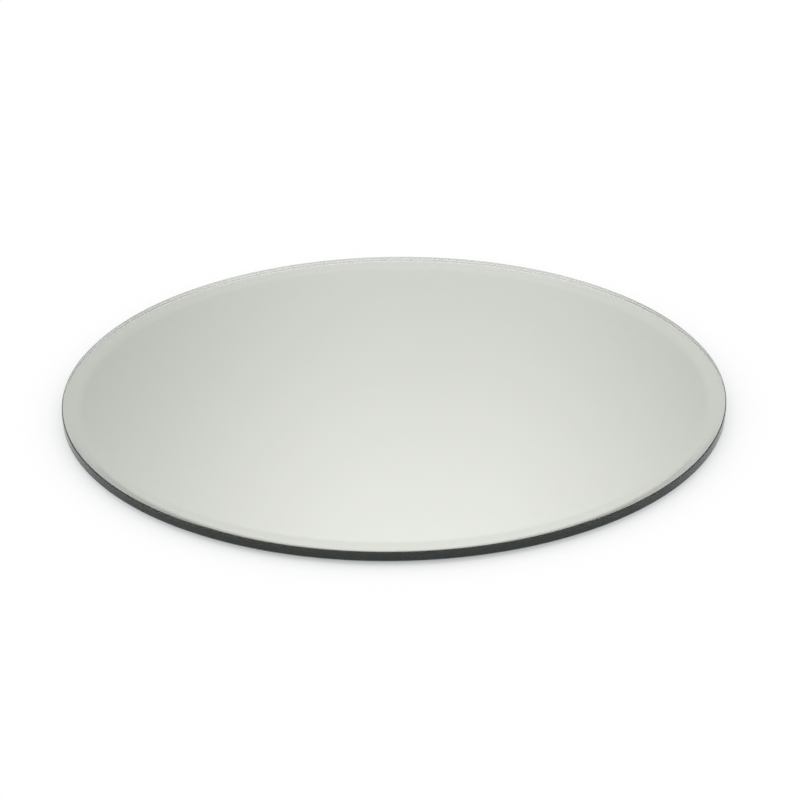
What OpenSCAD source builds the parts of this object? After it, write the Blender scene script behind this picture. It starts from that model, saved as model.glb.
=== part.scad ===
// Round frameless mirror plate with a bevelled rim, made to carry a candle, a lantern or a vase.
// A disc of silvered and painted float glass stands on four clear stick-on feet.
// Millimetres, +Z up. The origin is on the table, straight under the centre of the plate.

/* [Glass plate] */
// Diameter of the plate over its ground edge
plate_d = 300; // [200:5:500]
// Thickness of the float glass
glass_t = 5; // [4:0.5:8]

/* [Bevelled rim] */
// Width of the bevel, seen from above, from its inner line to the edge of the plate
bevel_w = 8; // [5:0.5:20]
// How far the bevel falls over its full width
bevel_drop = 0.6; // [0.4:0.1:2]
// Width of the seamed corners above and below the edge
arris_w = 0.4; // [0.2:0.05:0.8]

/* [Mirror backing] */
// Thickness given to the silver film
silver_t = 0.02; // [0.01:0.005:0.05]
// Thickness of the first coat of backing paint
base_coat_t = 0.03; // [0.02:0.005:0.08]
// Thickness of the second coat of backing paint
top_coat_t = 0.03; // [0.02:0.005:0.08]

/* [Feet] */
// Diameter of a foot where it is stuck to the plate
foot_d = 10; // [7:0.5:16]
// Height of a foot
foot_t = 2; // [1.5:0.25:5]
// Distance from the edge of the plate to the middle of a foot
foot_inset = 25; // [15:1:60]
// Slope of a foot's side from upright, in degrees
foot_draft = 12; // [0:1:25]
// Radius of the rounding around a foot's underside
foot_round_r = 0.6; // [0.2:0.1:1]
// Thickness of the adhesive under the plate
adhesive_t = 0.15; // [0.05:0.05:0.5]
// How far the adhesive stays inside the edge of its foot
adhesive_margin = 0.4; // [0.1:0.1:1]

/* [Hidden] */
$fn = 96;

// Half a turn holds two feet, so they stand on the corners of a square, with the front at -Y
quarter_turn = 360 / 4;
back_right_angle = quarter_turn / 2;
back_left_angle = back_right_angle + quarter_turn;
front_left_angle = back_left_angle + quarter_turn;
front_right_angle = front_left_angle + quarter_turn;

// The plate
plate_r = plate_d / 2;
crease_r = plate_r - bevel_w;

// The edge is ground after the glass is silvered and painted, so its lower corner
// takes the backing with it, and the three layers end on one line
backing_r = plate_r - arris_w;

// Heights above the table, from the feet up
adhesive_z = foot_t;
top_coat_z = adhesive_z + adhesive_t;
base_coat_z = top_coat_z + top_coat_t;
silver_z = base_coat_z + base_coat_t;
glass_z = silver_z + silver_t;

// Where a foot's sloping side runs into the rounding below it
foot_r = foot_d / 2;
foot_tangent_z = foot_round_r * (1 - sin(foot_draft));
foot_tangent_r = foot_r - (foot_t - foot_tangent_z) * tan(foot_draft);
foot_tread_r = foot_tangent_r - foot_round_r * cos(foot_draft);
foot_ring_r = plate_r - foot_inset;

// Height of the bevel above the underside of the glass, at a distance r from the centre
function bevel_height(r) = glass_t - bevel_drop * (r - crease_r) / bevel_w;

// Half of the plate's section: flat face, bevel, seamed corner, ground edge, seamed corner
module glass_section() {
    top_corner_z = bevel_height(plate_r - arris_w);
    polygon([
        [0, 0],
        [plate_r - arris_w, 0],
        [plate_r, arris_w],
        [plate_r, top_corner_z - arris_w],
        [plate_r - arris_w, top_corner_z],
        [crease_r, glass_t],
        [0, glass_t]
    ]);
}

// Half of a foot's section: sloping side, rounded lower edge, flat tread
module foot_section() {
    polygon([
        [0, 0],
        [foot_tread_r, 0],
        [foot_tangent_r, foot_tangent_z],
        [foot_r, foot_t],
        [0, foot_t]
    ]);
    translate([foot_tread_r, foot_round_r]) circle(r = foot_round_r);
}

// Puts its children under the plate, where the foot at this angle stands
module at_foot(angle) {
    rotate([0, 0, angle]) translate([foot_ring_r, 0, 0]) children();
}

module glass_disc() {
    color("gainsboro", 0.35) translate([0, 0, glass_z]) rotate_extrude() glass_section();
}

// One layer of the backing, over the whole flat underside of the glass
module backing_layer(z, t) {
    translate([0, 0, z]) cylinder(h = t, r = backing_r);
}

module silver_film() {
    color("silver") backing_layer(silver_z, silver_t);
}

module base_coat() {
    color("dimgray") backing_layer(base_coat_z, base_coat_t);
}

module top_coat() {
    color("slategray") backing_layer(top_coat_z, top_coat_t);
}

module adhesive(angle) {
    color("whitesmoke") at_foot(angle)
        translate([0, 0, adhesive_z]) cylinder(h = adhesive_t, r = foot_r - adhesive_margin);
}

module foot(angle) {
    color("lightgray") at_foot(angle) rotate_extrude() foot_section();
}

glass_disc();
silver_film();
base_coat();
top_coat();
foot(front_left_angle);  // foot_front_left
foot(front_right_angle);  // foot_front_right
foot(back_left_angle);  // foot_back_left
foot(back_right_angle);  // foot_back_right
adhesive(front_left_angle);  // adhesive_front_left
adhesive(front_right_angle);  // adhesive_front_right
adhesive(back_left_angle);  // adhesive_back_left
adhesive(back_right_angle);  // adhesive_back_right
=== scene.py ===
import math

import bmesh
import bpy
from mathutils import Matrix, Vector


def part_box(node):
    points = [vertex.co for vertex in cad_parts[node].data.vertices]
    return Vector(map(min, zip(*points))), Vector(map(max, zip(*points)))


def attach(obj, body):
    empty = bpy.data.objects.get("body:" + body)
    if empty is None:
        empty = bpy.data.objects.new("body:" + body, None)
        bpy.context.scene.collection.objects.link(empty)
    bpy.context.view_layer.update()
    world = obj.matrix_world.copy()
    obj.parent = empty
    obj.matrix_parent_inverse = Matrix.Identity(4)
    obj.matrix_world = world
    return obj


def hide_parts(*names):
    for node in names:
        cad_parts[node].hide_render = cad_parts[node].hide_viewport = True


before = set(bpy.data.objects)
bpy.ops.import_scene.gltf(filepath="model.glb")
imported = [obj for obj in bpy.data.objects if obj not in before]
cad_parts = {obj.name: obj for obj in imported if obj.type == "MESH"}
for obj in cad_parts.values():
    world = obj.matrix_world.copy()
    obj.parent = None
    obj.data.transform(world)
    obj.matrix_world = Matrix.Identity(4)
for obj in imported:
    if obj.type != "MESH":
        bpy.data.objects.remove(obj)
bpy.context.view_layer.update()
mm = 0.001
white = (1.0, 1.0, 1.0, 1.0)
black = (0.0, 0.0, 0.0, 1.0)
print("frame loaded with", len(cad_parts), "nodes")


# Small helpers for shader trees

def addNode(tree, kind, **settings):
    node = tree.nodes.new("ShaderNode" + kind)
    for name, value in settings.items():
        setattr(node, name, value)
    return node


def feed(tree, socket, value):
    # A socket takes a link from another socket, or a plain value
    if isinstance(value, bpy.types.NodeSocket):
        tree.links.new(value, socket)
    else:
        socket.default_value = value


def maths(tree, operation, *values, clamp=False):
    node = addNode(tree, "Math", operation=operation, use_clamp=clamp)
    for socket, value in zip(node.inputs, values):
        feed(tree, socket, value)
    return node.outputs[0]


def times(tree, first, second):
    return maths(tree, "MULTIPLY", first, second)


def ramp(tree, value, span, result=(0.0, 1.0)):
    # Eases from one result to the other while the value crosses the span, and holds at both ends
    node = addNode(tree, "MapRange", interpolation_type="SMOOTHSTEP")
    labels = ("Value", "From Min", "From Max", "To Min", "To Max")
    for label, given in zip(labels, (value, *span, *result)):
        feed(tree, node.inputs[label], given)
    return node.outputs["Result"]


def pick(tree, mask, off, on):
    # One value where the mask is 0 and the other where it is 1
    return ramp(tree, mask, (0.0, 1.0), (off, on))


def noise(tree, vector, scale, detail=2.0, roughness=0.5):
    node = addNode(tree, "TexNoise")
    feed(tree, node.inputs["Vector"], vector)
    feed(tree, node.inputs["Scale"], scale)
    node.inputs["Detail"].default_value = detail
    node.inputs["Roughness"].default_value = roughness
    return node.outputs["Fac"]


def mixColors(tree, factor, first, second):
    node = addNode(tree, "Mix", data_type="RGBA")
    sockets = {socket.identifier: socket for socket in node.inputs}
    feed(tree, sockets["Factor_Float"], factor)
    feed(tree, sockets["A_Color"], first)
    feed(tree, sockets["B_Color"], second)
    return next(socket for socket in node.outputs if socket.identifier == "Result_Color")


def bump(tree, height, distance, strength=1.0):
    node = addNode(tree, "Bump")
    node.inputs["Distance"].default_value = distance
    node.inputs["Strength"].default_value = strength
    feed(tree, node.inputs["Height"], height)
    return node.outputs["Normal"]


def objectPoint(tree):
    return addNode(tree, "TexCoord").outputs["Object"]


def startGroup(name, inputs, outputs):
    # An input without a number is the point that the effect is worked out for
    tree = bpy.data.node_groups.new(name, "ShaderNodeTree")
    for label, value in inputs.items():
        kind = "NodeSocketVector" if value is None else "NodeSocketFloat"
        socket = tree.interface.new_socket(label, in_out="INPUT", socket_type=kind)
        if value is not None:
            socket.default_value = value
    for label in outputs:
        tree.interface.new_socket(label, in_out="OUTPUT", socket_type="NodeSocketFloat")
    return tree, tree.nodes.new("NodeGroupInput").outputs, tree.nodes.new("NodeGroupOutput").inputs


def useGroup(tree, group, **values):
    node = addNode(tree, "Group", node_tree=group)
    for label, value in values.items():
        feed(tree, node.inputs[label], value)
    return node.outputs


def newMaterial(name, **plain):
    # plain sets the shader's own sockets, written as the socket's name without its spaces
    material = bpy.data.materials.new(name)
    material.use_nodes = True
    tree = material.node_tree
    shader = next(node for node in tree.nodes if node.type == "BSDF_PRINCIPLED")
    for socket in shader.inputs:
        label = socket.name.replace(" ", "")
        if label in plain and socket.enabled:
            socket.default_value = plain[label]
    return material, tree, shader.inputs


def emptyTree(owner):
    # For a material or a world whose shader is put together here
    owner.use_nodes = True
    owner.node_tree.nodes.clear()
    return owner.node_tree


# Effects that several finishes share

specks = {
    "size": (0.05, 0.22),             # where a speck starts and ends to fade, as a share of its cell
    "patchScale": 60.0,
    "patchBand": (0.62, 0.72),        # specks lie only where the patches rise above this
}


def makePolarGroup():
    # Distance from the plate's axis, angle round it in turns, and height
    tree, given, made = startGroup("polarPlace", {"Point": None}, ["Radius", "Turn", "Height"])
    parts = addNode(tree, "SeparateXYZ")
    feed(tree, parts.inputs[0], given["Point"])
    x, y, z = parts.outputs
    square = maths(tree, "ADD", times(tree, x, x), times(tree, y, y))
    feed(tree, made["Radius"], maths(tree, "SQRT", square))
    feed(tree, made["Turn"], maths(tree, "DIVIDE", maths(tree, "ARCTAN2", y, x), 2 * math.pi))
    feed(tree, made["Height"], z)
    return tree


def makeGrainGroup():
    # Fine grain with a slower drift over it, as a cured coat or a moulded skin has
    sizes = {"Point": None, "GrainScale": 2000.0, "DriftScale": 40.0, "DriftShare": 0.4}
    tree, given, made = startGroup("fineGrain", sizes, ["Height", "Drift"])
    fine = noise(tree, given["Point"], given["GrainScale"], detail=4.0, roughness=0.6)
    slow = noise(tree, given["Point"], given["DriftScale"])
    keep = maths(tree, "SUBTRACT", 1.0, given["DriftShare"])
    height = maths(tree, "ADD", times(tree, fine, keep), times(tree, slow, given["DriftShare"]))
    feed(tree, made["Height"], height)
    feed(tree, made["Drift"], slow)
    return tree


def makeSpeckGroup():
    # Sparse settled specks: up to Spread on a speck, 0 elsewhere
    sizes = {"Point": None, "SpeckScale": 900.0, "Spread": 0.05}
    tree, given, made = startGroup("settledSpecks", sizes, ["Mask"])
    cells = addNode(tree, "TexVoronoi", feature="F1")
    feed(tree, cells.inputs["Vector"], given["Point"])
    feed(tree, cells.inputs["Scale"], given["SpeckScale"])
    near = ramp(tree, cells.outputs["Distance"], specks["size"], (1.0, 0.0))
    some = ramp(tree, noise(tree, given["Point"], specks["patchScale"]), specks["patchBand"])
    feed(tree, made["Mask"], times(tree, times(tree, near, some), given["Spread"]))
    return tree


polarPlace = makePolarGroup()
fineGrain = makeGrainGroup()
settledSpecks = makeSpeckGroup()
print("shared effects built")


# Mesh helpers

ringTolerance = 0.01 * mm
weldDistance = 0.0001 * mm


def nodeRadius(node):
    # The farthest corner from the axis lies on the true circle
    return max(math.hypot(v.co.x, v.co.y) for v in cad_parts[node].data.vertices)


def addObject(name, bm, material):
    mesh = bpy.data.meshes.new(name)
    bm.to_mesh(mesh)
    bm.free()
    mesh.materials.append(material)
    thing = bpy.data.objects.new(name, mesh)
    bpy.context.scene.collection.objects.link(thing)
    return thing


def finishPiece(bm, name, node, material):
    bmesh.ops.remove_doubles(bm, verts=bm.verts, dist=weldDistance)
    bmesh.ops.recalc_face_normals(bm, faces=bm.faces)
    piece = addObject(name, bm, material)
    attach(piece, "root")
    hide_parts(node)
    return piece


def turnedSolid(outline, centre, steps):
    # Draws a ring at the first (radius, height), extrudes it from each to the next, and caps both ends
    bm = bmesh.new()
    radius, height = outline[0]
    verts = bmesh.ops.create_circle(bm, segments=steps, radius=radius)["verts"]
    bmesh.ops.translate(bm, verts=verts, vec=(0, 0, height))
    for nextRadius, nextHeight in outline[1:]:
        ring = [e for e in bm.edges if e.verts[0] in verts and e.verts[1] in verts]
        made = bmesh.ops.extrude_edge_only(bm, edges=ring)["geom"]
        verts = {part for part in made if isinstance(part, bmesh.types.BMVert)}
        grown = nextRadius / radius
        bmesh.ops.scale(bm, verts=list(verts), vec=(grown, grown, 1))
        bmesh.ops.translate(bm, verts=list(verts), vec=(0, 0, nextHeight - height))
        radius, height = nextRadius, nextHeight
    bmesh.ops.holes_fill(bm, edges=[e for e in bm.edges if e.is_boundary], sides=0)
    bmesh.ops.translate(bm, verts=bm.verts, vec=centre)
    return bm


def softenRings(bm, centre, rings, width, segments):
    # Rounds the edges on these (radius, height) rings and returns the faces of the roundings
    def onRing(v, radius, height):
        away = (v.co - centre).xy.length
        return abs(away - radius) < ringTolerance and abs(v.co.z - height) < ringTolerance
    edges = [
        e for e in bm.edges
        if any(onRing(e.verts[0], *ring) and onRing(e.verts[1], *ring) for ring in rings)
    ]
    return bmesh.ops.bevel(
        bm, geom=edges, offset=width, offset_type="OFFSET", affect="EDGES",
        segments=segments, profile=0.5, material=-1, clamp_overlap=True,
    )["faces"]


def shadeTurned(bm, rounded=()):
    # Walls shade smooth and caps flat, and each rounding keeps to itself, so what it joins stays true
    for face in bm.faces:
        face.smooth = len(face.verts) == 4
    rounded = set(rounded)
    for edge in bm.edges:
        kinds = {face in rounded for face in edge.link_faces}
        flat = any(not face.smooth for face in edge.link_faces)
        edge.smooth = len(kinds) == 1 and not flat


# The glass: a float glass disc with a bevel ground round its face, a polished edge and seamed corners

glass = {
    "bevelWidth": 8.0 * mm,
    "bevelDrop": 0.6 * mm,
    "arrisWidth": 0.4 * mm,
    "creaseSoftness": 1.2 * mm,       # how far polishing rounds off the bevel's inner line, to each side
    "creaseSegments": 12,
    "cornerSoftness": 0.05 * mm,
    "cornerSegments": 3,
    "silverBond": 0.01 * mm,          # how far the glass sinks into the silver, so the two read as bonded
    "steps": 720,
    "indexOfRefraction": 1.52,
    "bodyTint": (0.10, 0.76, 0.52, 1.0),
    "bodyDepth": 5.0,                 # absorption per metre of glass
    "clearShare": 0.985,              # the rest scatters, as settled dust and the ground edge do
    "bandMargin": 0.008 * mm,         # the ground band starts this far inside the seamed corners
    "wallStart": 0.04 * mm,           # distance in from the edge at which corner turns to wall
    "wallBlend": 0.02 * mm,
    # painted shade on the ground edge: a dark grey tint below the face, deepening to dark green near the
    # underside
    "upperEdgeTint": (0.38, 0.44, 0.38, 1.0),
    "lowerEdgeTint": (0.05, 0.30, 0.27, 1.0),
    "upperTintEnd": 1.2 * mm,         # below the face
    "lowerTintStart": 2.2 * mm,       # above the underside
    "edgeRoughness": 0.09,
    "arrisRoughness": 0.60,
    "innerEdge": 0.0,                 # the same two as they are met from inside the glass
    "innerArris": 0.60,
    "seamTone": (0.18, 0.18, 0.17, 1.0),  # painted glow: a fixed tone the seamed corners emit as seen from inside, standing in for light the frosted corners gather
    "markScale": (60.0, 4000.0, 7000.0),  # wheel marks: long round the rim, tight across it
    "markBand": (0.2, 0.8),
    "markSpread": (0.7, 1.3),         # how far they vary the roughness
    "markDepth": 0.002 * mm,
    "speckScale": 700.0,
    "speckSpread": 0.06,
    "hazeScale": 12.0,
    "hazeBand": (0.55, 0.9),
    "hazeRoughness": 0.006,
}


def makeGlassMaterial(radius, bottom, top):
    material, tree, shader = newMaterial(
        "polishedGlass", Metallic=0.0, TransmissionWeight=glass["clearShare"],
        IOR=glass["indexOfRefraction"], EmissionStrength=1.0,
    )
    material.cycles.emission_sampling = "NONE"     # the seams' painted glow is no lamp
    point = objectPoint(tree)
    place = useGroup(tree, polarPlace, Point=point)
    # The band is all that was ground outside the bevel: both seamed corners and the wall between them
    bandStart = radius - glass["arrisWidth"] - glass["bandMargin"]
    band = maths(tree, "GREATER_THAN", place["Radius"], bandStart)
    wallStart = radius - glass["wallStart"]
    wall = ramp(tree, place["Radius"], (wallStart, wallStart + glass["wallBlend"]))
    inside = addNode(tree, "NewGeometry").outputs["Backfacing"]
    outer = times(tree, band, maths(tree, "SUBTRACT", 1.0, inside))
    # Wheel marks run round the edge
    along = addNode(tree, "CombineXYZ")
    for axis, label, scale in zip(along.inputs, ("Turn", "Radius", "Height"), glass["markScale"]):
        feed(tree, axis, times(tree, place[label], scale))
    marks = noise(tree, along.outputs[0], 1.0, detail=4.0, roughness=0.6)
    # Faint specks and hand marks on the face
    dust = useGroup(
        tree, settledSpecks, Point=point, SpeckScale=glass["speckScale"], Spread=glass["speckSpread"]
    )["Mask"]
    haze = useGroup(tree, fineGrain, Point=point, DriftScale=glass["hazeScale"])["Drift"]
    face = maths(tree, "ADD", dust, ramp(tree, haze, glass["hazeBand"], (0.0, glass["hazeRoughness"])))
    ground = pick(tree, wall, glass["arrisRoughness"], glass["edgeRoughness"])
    ground = times(tree, ground, ramp(tree, marks, glass["markBand"], glass["markSpread"]))
    within = pick(tree, wall, glass["innerArris"], glass["innerEdge"])
    ground = pick(tree, inside, ground, within)
    feed(tree, shader["Roughness"], pick(tree, band, face, ground))
    # Painted shade: the ground edge is tinted dark, grey just below the face and deepening to a dark green
    # towards its lower corner
    lower = ramp(tree, place["Height"], (top - glass["upperTintEnd"], bottom + glass["lowerTintStart"]))
    edgeShadeColor = mixColors(tree, lower, glass["upperEdgeTint"], glass["lowerEdgeTint"])
    feed(tree, shader["Base Color"], mixColors(tree, outer, white, edgeShadeColor))
    feed(tree, shader["Normal"], bump(tree, times(tree, marks, outer), glass["markDepth"]))
    # Painted glow: seen from inside the glass, the frosted seamed corners emit a faint fixed tone, so they
    # are paler than the shade they stand in
    seamGlowMask = times(tree, times(tree, band, inside), maths(tree, "SUBTRACT", 1.0, wall))
    feed(tree, shader["Emission Color"], mixColors(tree, seamGlowMask, black, glass["seamTone"]))
    body = addNode(tree, "VolumeAbsorption")
    body.inputs["Color"].default_value = glass["bodyTint"]
    body.inputs["Density"].default_value = glass["bodyDepth"]
    output = next(node for node in tree.nodes if node.type == "OUTPUT_MATERIAL")
    tree.links.new(body.outputs[0], output.inputs["Volume"])
    return material


def makeGlass():
    low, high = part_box("glass_disc")
    radius = nodeRadius("glass_disc")
    bottom = low.z - glass["silverBond"]
    arris, crease = glass["arrisWidth"], radius - glass["bevelWidth"]
    slope = glass["bevelDrop"] / glass["bevelWidth"]
    cornerTop = high.z - slope * (radius - arris - crease)
    corners = [
        (radius - arris, bottom),
        (radius, low.z + arris),
        (radius, cornerTop - arris),
        (radius - arris, cornerTop),
    ]
    innerLine = [(crease, high.z)]
    centre = Vector((0, 0, 0))
    bm = turnedSolid(corners + innerLine, centre, glass["steps"])
    rounded = softenRings(bm, centre, corners, glass["cornerSoftness"], glass["cornerSegments"])
    rounded += softenRings(bm, centre, innerLine, glass["creaseSoftness"], glass["creaseSegments"])
    shadeTurned(bm, rounded)
    material = makeGlassMaterial(radius, low.z, high.z)
    return finishPiece(bm, "glass_plate", "glass_disc", material)


makeGlass()
print("glass plate turned, bevelled and polished")


# The mirror backing: silver on the glass, then two coats of paint

backing = {
    "steps": 720,
    "silverColor": (0.954, 0.939, 0.884, 1.0),
    "silverEdgeColor": (0.80, 0.78, 0.72, 1.0),
    "silverEdgeWidth": 0.25 * mm,     # where the ground edge has let a little air at the silver
    "silverDrift": 9.0,
    "silverBand": (0.35, 0.8),
    "silverRoughness": (0.0, 0.012),
    "baseColor": (0.055, 0.050, 0.050, 1.0),
    "baseGrain": 2600.0,
    "topColor": (0.175, 0.200, 0.225, 1.0),
    "topColorWorn": (0.197, 0.222, 0.245, 1.0),
    "topGrain": 1500.0,
    "paintSpecular": 0.45,
    "paintRoughness": (0.40, 0.54),
    "paintDrift": 22.0,
    "driftBand": (0.3, 0.7),
    "blotchBand": (0.3, 0.75),
    "laneScale": (6.0, 240.0, 1.0),   # bands that the curtain of paint leaves: long one way, tight across
    "laneBand": (0.3, 0.7),
    "laneShare": 0.6,                 # how much of them the skin's relief takes
    "skinDepth": 0.02 * mm,
    "skinStrength": 0.6,
}


def makeSilverMaterial(radius):
    material, tree, shader = newMaterial("silverFilm", Metallic=1.0)
    point = objectPoint(tree)
    place = useGroup(tree, polarPlace, Point=point)
    drift = useGroup(tree, fineGrain, Point=point, DriftScale=backing["silverDrift"])["Drift"]
    aired = ramp(tree, place["Radius"], (radius - backing["silverEdgeWidth"], radius))
    color = mixColors(tree, aired, backing["silverColor"], backing["silverEdgeColor"])
    feed(tree, shader["Base Color"], color)
    feed(tree, shader["Roughness"], ramp(tree, drift, backing["silverBand"], backing["silverRoughness"]))
    return material


def makePaintMaterial(name, color, grainScale, wornColor=None):
    # A coat that nothing wears keeps one colour all over
    material, tree, shader = newMaterial(name, Metallic=0.0, SpecularIORLevel=backing["paintSpecular"])
    point = objectPoint(tree)
    grain = useGroup(
        tree, fineGrain, Point=point, GrainScale=grainScale, DriftScale=backing["paintDrift"]
    )
    lanes = addNode(tree, "Mapping")
    lanes.inputs["Scale"].default_value = backing["laneScale"]
    feed(tree, lanes.inputs["Vector"], point)
    bands = noise(tree, lanes.outputs[0], 1.0)
    if wornColor:
        blotch = times(
            tree, ramp(tree, grain["Drift"], backing["blotchBand"]), ramp(tree, bands, backing["laneBand"])
        )
        color = mixColors(tree, blotch, color, wornColor)
    feed(tree, shader["Base Color"], color)
    roughness = ramp(tree, grain["Drift"], backing["driftBand"], backing["paintRoughness"])
    feed(tree, shader["Roughness"], roughness)
    height = maths(tree, "ADD", grain["Height"], times(tree, bands, backing["laneShare"]))
    feed(tree, shader["Normal"], bump(tree, height, backing["skinDepth"], backing["skinStrength"]))
    return material


def makeLayer(name, node, material):
    # A coat as wide as the flat underside of the glass
    low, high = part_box(node)
    radius = nodeRadius(node)
    bm = turnedSolid([(radius, low.z), (radius, high.z)], Vector((0, 0, 0)), backing["steps"])
    shadeTurned(bm)
    return finishPiece(bm, name, node, material)


silver = makeSilverMaterial(nodeRadius("silver_film"))
basePaint = makePaintMaterial("basePaint", backing["baseColor"], backing["baseGrain"])
topPaint = makePaintMaterial("topPaint", backing["topColor"], backing["topGrain"], backing["topColorWorn"])
makeLayer("silver_layer", "silver_film", silver)
makeLayer("base_paint", "base_coat", basePaint)
makeLayer("top_paint", "top_coat", topPaint)
print("silver and both coats of paint laid")


# The feet: clear soft bumpers, each on a disc of adhesive

feet = {
    "corners": ["front_left", "front_right", "back_left", "back_right"],
    "draft": 12.0,                    # slope of the side from upright, in degrees
    "roundWidth": 0.48 * mm,
    "roundSegments": 6,
    "steps": 96,
    "rubberColor": (0.90, 0.91, 0.87, 1.0),
    "rubberClouded": (0.84, 0.85, 0.79, 1.0),
    "cloudBand": (0.3, 0.8),
    "rubberShare": 0.55,              # how much of the light goes through
    "rubberIndex": 1.49,
    "rubberRoughness": (0.22, 0.34),
    "rubberGrain": 3500.0,
    "rubberDrift": 300.0,
    "driftBand": (0.3, 0.7),
    "speckScale": 2500.0,
    "speckSpread": 0.25,
    "skinDepth": 0.01 * mm,
    "skinStrength": 0.5,
    "adhesiveColor": (0.92, 0.91, 0.86, 1.0),
    "adhesiveMilky": (1.0, 1.0, 0.98, 1.0),
    "adhesiveShare": 0.5,
    "adhesiveIndex": 1.47,
    "adhesiveRoughness": (0.3, 0.6),
    "adhesiveGrain": 1800.0,
    "adhesiveDrift": 500.0,
    "bubbleBand": (0.5, 0.62),
}


def makeRubberMaterial():
    material, tree, shader = newMaterial(
        "clearBumper", Metallic=0.0, TransmissionWeight=feet["rubberShare"], IOR=feet["rubberIndex"]
    )
    point = objectPoint(tree)
    grain = useGroup(
        tree, fineGrain, Point=point, GrainScale=feet["rubberGrain"], DriftScale=feet["rubberDrift"]
    )
    dust = useGroup(
        tree, settledSpecks, Point=point, SpeckScale=feet["speckScale"], Spread=feet["speckSpread"]
    )["Mask"]
    base = ramp(tree, grain["Drift"], feet["driftBand"], feet["rubberRoughness"])
    feed(tree, shader["Roughness"], maths(tree, "ADD", base, dust))
    clouds = ramp(tree, grain["Drift"], feet["cloudBand"])
    feed(tree, shader["Base Color"], mixColors(tree, clouds, feet["rubberColor"], feet["rubberClouded"]))
    feed(tree, shader["Normal"], bump(tree, grain["Height"], feet["skinDepth"], feet["skinStrength"]))
    return material


def makeAdhesiveMaterial():
    material, tree, shader = newMaterial(
        "clearAdhesive", Metallic=0.0, TransmissionWeight=feet["adhesiveShare"], IOR=feet["adhesiveIndex"]
    )
    grain = useGroup(
        tree, fineGrain, Point=objectPoint(tree),
        GrainScale=feet["adhesiveGrain"], DriftScale=feet["adhesiveDrift"],
    )
    # Small trapped bubbles turn the film a little milky
    bubbles = ramp(tree, grain["Height"], feet["bubbleBand"])
    feed(tree, shader["Base Color"], mixColors(tree, bubbles, feet["adhesiveColor"], feet["adhesiveMilky"]))
    feed(tree, shader["Roughness"], pick(tree, bubbles, *feet["adhesiveRoughness"]))
    return material


def roundNode(node):
    # Centre on the table, radius, underside and top of a foot or its adhesive
    low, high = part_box(node)
    centre = Vector(((low.x + high.x) / 2, (low.y + high.y) / 2, 0))
    return centre, (high.y - low.y) / 2, low.z, high.z


def makeFoot(corner, material):
    node = "foot_" + corner
    centre, radius, bottom, top = roundNode(node)
    tread = [(radius - (top - bottom) * math.tan(math.radians(feet["draft"])), bottom)]
    bm = turnedSolid(tread + [(radius, top)], centre, feet["steps"])
    softenRings(bm, centre, tread, feet["roundWidth"], feet["roundSegments"])
    shadeTurned(bm)
    return finishPiece(bm, "bumper_" + corner, node, material)


def makeAdhesive(corner, material):
    node = "adhesive_" + corner
    centre, radius, bottom, top = roundNode(node)
    bm = turnedSolid([(radius, bottom), (radius, top)], centre, feet["steps"])
    shadeTurned(bm)
    return finishPiece(bm, "adhesive_pad_" + corner, node, material)


rubber = makeRubberMaterial()
stickyFilm = makeAdhesiveMaterial()
for corner in feet["corners"]:
    makeFoot(corner, rubber)
    makeAdhesive(corner, stickyFilm)
print("four bumper feet stuck on")


# The studio: a pale floor, plain light, and a tent that only reflections see

studio = {
    "floorRadius": 6.0,
    "floorSteps": 128,
    "floorSink": 0.05 * mm,           # keeps the floor clear of the feet's treads
    "floorColor": (0.55, 0.55, 0.55, 1.0),
    "floorGlow": 0.500,               # added for the camera and for reflections only
    "glowSpan": (0.138, 0.150),       # painted shade: none of the glow lies under the plate, so the floor there is darker
    "sweepSpan": (0.55, 1.6),         # where the floor fades into the white backdrop
    "worldLight": 0.92,
    "tentRadius": 0.300,
    "tentDetail": 5,
    "tentTones": (0.701, 0.930),      # brightness of the tent's skirt and of its crown
    "tentSpan": (0.181, 0.826),       # where the one gives way to the other, in radians above the table
    "rearLift": -0.063,               # what the side behind the camera gains
    "cornerDip": 0.220,               # how much darker the two far corners are
    "cornerAt": 0.883,                # how far each lies from straight away, in radians
    "cornerHalf": 0.824,              # and how far it spreads to each side
    "cornerTurn": 0.083,              # the pair is turned this far towards +X
    "cornerTop": 0.70,                # the corners fade from this height up, in radians
}


def stageObject(name, bm, material):
    # Only rays that meet it by themselves need its light, so no lamp samples are spent on it
    material.cycles.emission_sampling = "NONE"
    thing = addObject(name, bm, material)
    return thing


def seenDirectly(tree):
    # 1 for camera, glossy and transmission rays
    rays = addNode(tree, "LightPath").outputs
    total = maths(tree, "ADD", rays["Is Camera Ray"], rays["Is Glossy Ray"])
    return maths(tree, "ADD", total, rays["Is Transmission Ray"], clamp=True)


def join(tree, kind, first, second, factor=None):
    # Adds two shaders, or mixes them by the factor
    node = addNode(tree, kind)
    if factor is not None:
        feed(tree, node.inputs["Fac"], factor)
    slots = [socket for socket in node.inputs if socket.type == "SHADER"]
    tree.links.new(first.outputs[0], slots[0])
    tree.links.new(second.outputs[0], slots[1])
    return node


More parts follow.
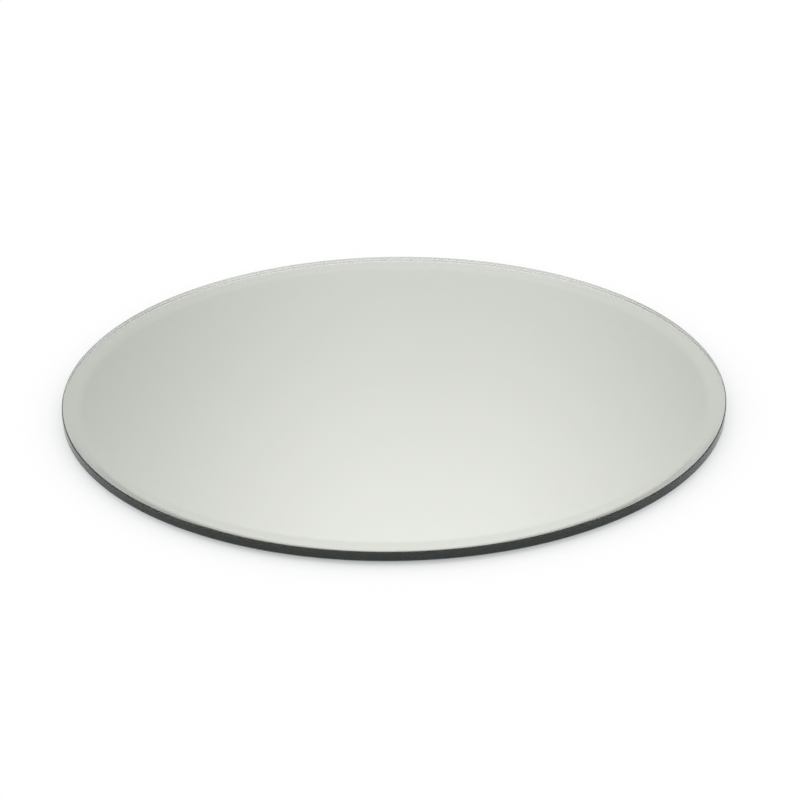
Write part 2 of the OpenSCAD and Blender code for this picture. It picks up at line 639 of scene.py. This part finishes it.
def makeFloor():
    material = bpy.data.materials.new("paleFloor")
    tree = emptyTree(material)
    seen = seenDirectly(tree)
    radius = useGroup(tree, polarPlace, Point=objectPoint(tree))["Radius"]
    paper = addNode(tree, "BsdfDiffuse")
    paper.inputs["Color"].default_value = studio["floorColor"]
    lift = addNode(tree, "Emission")
    # Painted shade: the glow fades out under the plate, so the floor there reads darker to the camera and
    # in reflections
    glowPastShade = ramp(tree, radius, studio["glowSpan"], (0.0, studio["floorGlow"]))
    feed(tree, lift.inputs["Strength"], times(tree, seen, glowPastShade))
    backdrop = addNode(tree, "Emission")
    feed(tree, backdrop.inputs["Strength"], seen)
    near = join(tree, "AddShader", paper, lift)
    sweep = join(tree, "MixShader", near, backdrop, ramp(tree, radius, studio["sweepSpan"]))
    # From below the floor is clear, and it stays so for the light on what is seen through it
    depth = addNode(tree, "LightPath").outputs["Transparent Depth"]
    crossed = maths(tree, "GREATER_THAN", depth, 0.5)
    below = maths(tree, "MAXIMUM", addNode(tree, "NewGeometry").outputs["Backfacing"], crossed)
    side = join(tree, "MixShader", sweep, addNode(tree, "BsdfTransparent"), below)
    tree.links.new(side.outputs[0], addNode(tree, "OutputMaterial").inputs["Surface"])
    bm = bmesh.new()
    bmesh.ops.create_circle(
        bm, cap_ends=True, segments=studio["floorSteps"], radius=studio["floorRadius"]
    )
    bmesh.ops.translate(bm, verts=bm.verts, vec=(0, 0, -studio["floorSink"]))
    return stageObject("floor", bm, material)


def makeTent():
    material = bpy.data.materials.new("tentLight")
    tree = emptyTree(material)
    inward = addNode(tree, "VectorMath", operation="NORMALIZE")
    feed(tree, inward.inputs[0], objectPoint(tree))
    parts = addNode(tree, "SeparateXYZ")
    feed(tree, parts.inputs[0], inward.outputs[0])
    x, y, z = parts.outputs
    angle = maths(tree, "ARCSINE", z)
    level = ramp(tree, angle, studio["tentSpan"], studio["tentTones"])
    behind = times(tree, maths(tree, "SUBTRACT", 1.0, y), 0.5)
    level = maths(tree, "MULTIPLY_ADD", behind, studio["rearLift"], level)
    turn = maths(tree, "SUBTRACT", maths(tree, "ARCTAN2", x, y), studio["cornerTurn"])
    turn = maths(tree, "ABSOLUTE", maths(tree, "WRAP", turn, math.pi, -math.pi))
    away = maths(tree, "ABSOLUTE", maths(tree, "SUBTRACT", turn, studio["cornerAt"]))
    corner = ramp(tree, away, (0.0, studio["cornerHalf"]), (studio["cornerDip"], 0.0))
    corner = times(tree, corner, ramp(tree, angle, (studio["cornerTop"], math.pi / 2), (1.0, 0.0)))
    light = addNode(tree, "Emission")
    feed(tree, light.inputs["Strength"], maths(tree, "SUBTRACT", level, corner))
    tree.links.new(light.outputs[0], addNode(tree, "OutputMaterial").inputs["Surface"])
    bm = bmesh.new()
    bmesh.ops.create_icosphere(bm, subdivisions=studio["tentDetail"], radius=studio["tentRadius"])
    whole = bm.verts[:] + bm.edges[:] + bm.faces[:]
    bmesh.ops.bisect_plane(bm, geom=whole, plane_co=(0, 0, 0), plane_no=(0, 0, 1), clear_inner=True)
    tent = stageObject("light_tent", bm, material)
    tent.visible_camera = False
    tent.visible_diffuse = False
    tent.visible_shadow = False
    return tent


def makeWorld():
    world = bpy.data.worlds.new("studioWorld")
    bpy.context.scene.world = world
    tree = emptyTree(world)
    sky = addNode(tree, "Background")
    sky.inputs["Color"].default_value = white
    feed(tree, sky.inputs["Strength"], pick(tree, seenDirectly(tree), studio["worldLight"], 1.0))
    tree.links.new(sky.outputs[0], addNode(tree, "OutputWorld").inputs["Surface"])


makeFloor()
makeTent()
makeWorld()
print("studio set")


# The camera stands where the photograph was taken from

shot = {
    "distance": 1.875,                # from the middle of the plate's rim
    "elevation": 26.44,               # degrees above the table
    "roll": -0.715,                   # the plate's right side rides a little high in the frame
    "lens": 186.45,
    "sensor": 36.0,
    "clip": (0.05, 30.0),
    "rimAt": (393.92, 393.85),        # where the middle of the rim falls in the 800 x 800 frame
    "frameSize": 800,
}


def makeCamera():
    data = bpy.data.cameras.new("camera")
    data.lens = shot["lens"]
    data.sensor_width = shot["sensor"]
    data.clip_start, data.clip_end = shot["clip"]
    camera = bpy.data.objects.new("camera", data)
    bpy.context.scene.collection.objects.link(camera)
    elevation = math.radians(shot["elevation"])
    roll = math.radians(shot["roll"])
    back = Vector((0, -math.cos(elevation), math.sin(elevation)))
    level = Vector((1, 0, 0))
    right = level * math.cos(roll) + back.cross(level) * math.sin(roll)
    up = back.cross(right)
    perPixel = shot["sensor"] / shot["lens"] / shot["frameSize"] * shot["distance"]
    middle = shot["frameSize"] / 2
    rim = Vector((0, 0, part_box("glass_disc")[1].z - glass["bevelDrop"]))
    across = right * (shot["rimAt"][0] - middle) * perPixel
    down = up * (shot["rimAt"][1] - middle) * perPixel
    camera.location = rim + back * shot["distance"] - across + down
    camera.rotation_mode = "QUATERNION"
    camera.rotation_quaternion = Matrix((right, up, back)).transposed().to_quaternion()
    bpy.context.scene.camera = camera


makeCamera()
bpy.context.scene.view_settings.view_transform = "Standard"
print("camera placed")
